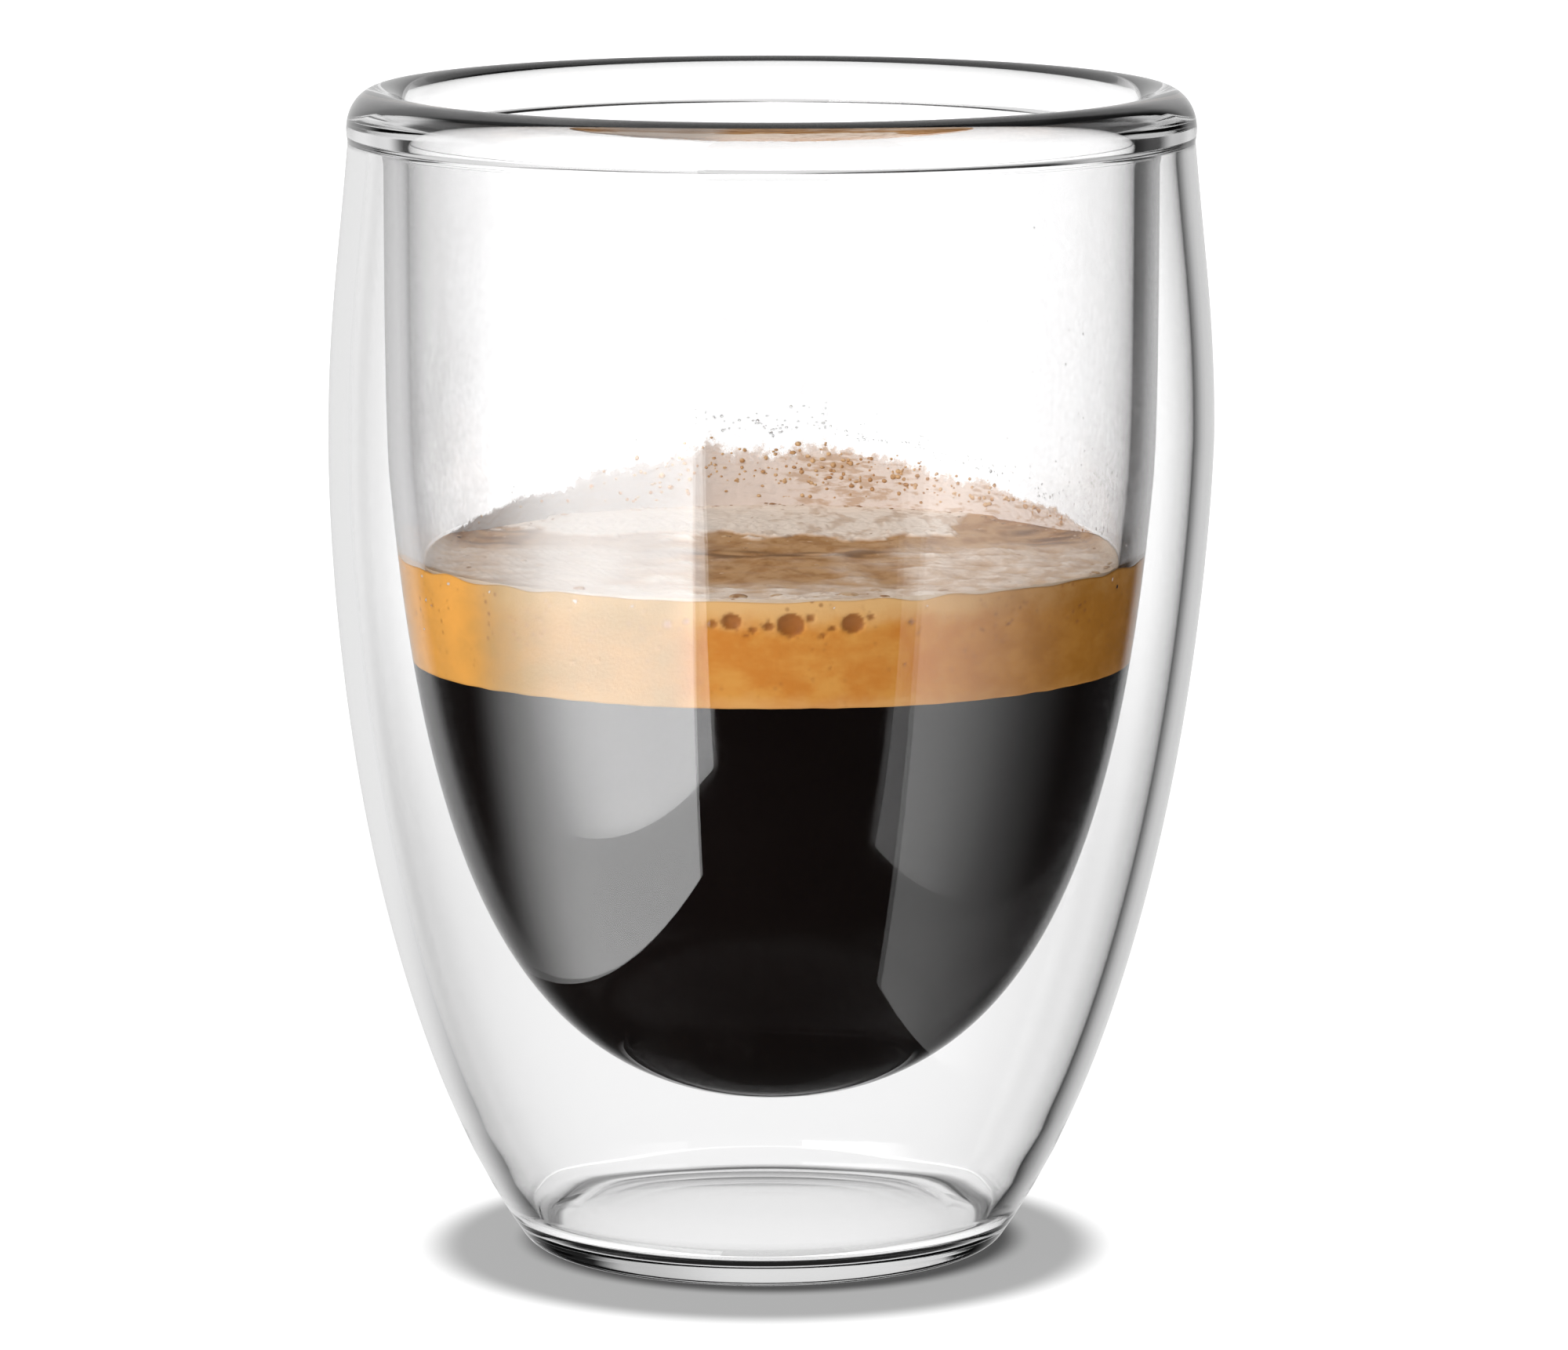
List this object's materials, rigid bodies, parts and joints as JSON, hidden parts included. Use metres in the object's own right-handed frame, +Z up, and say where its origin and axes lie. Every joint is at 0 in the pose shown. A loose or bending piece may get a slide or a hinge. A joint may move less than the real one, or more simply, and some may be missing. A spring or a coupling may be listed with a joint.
{
  "type": "double espresso in a double-walled glass",
  "caption": "Double espresso with a thick crema in a clear double-walled tumbler with a rounded inner cup, a sealed air gap and a round rim.",
  "frame": {"origin": "middle of the foot ring, in the plane that the tumbler stands on", "axes": "+Z up along the tumbler's axis; +X and +Y are any two level directions, as the tumbler is round"},
  "size_m": [0.0683, 0.0682, 0.09],
  "materials": {
    "glass": "clear polished borosilicate glass",
    "coffee": "opaque black coffee, glossy where it wets the glass",
    "crema": "fine golden coffee foam, mottled, satin"
  },
  "bodies": {
    "root": {"glass": "glass", "coffee": "coffee", "crema": "crema"}
  },
  "joints": []
}
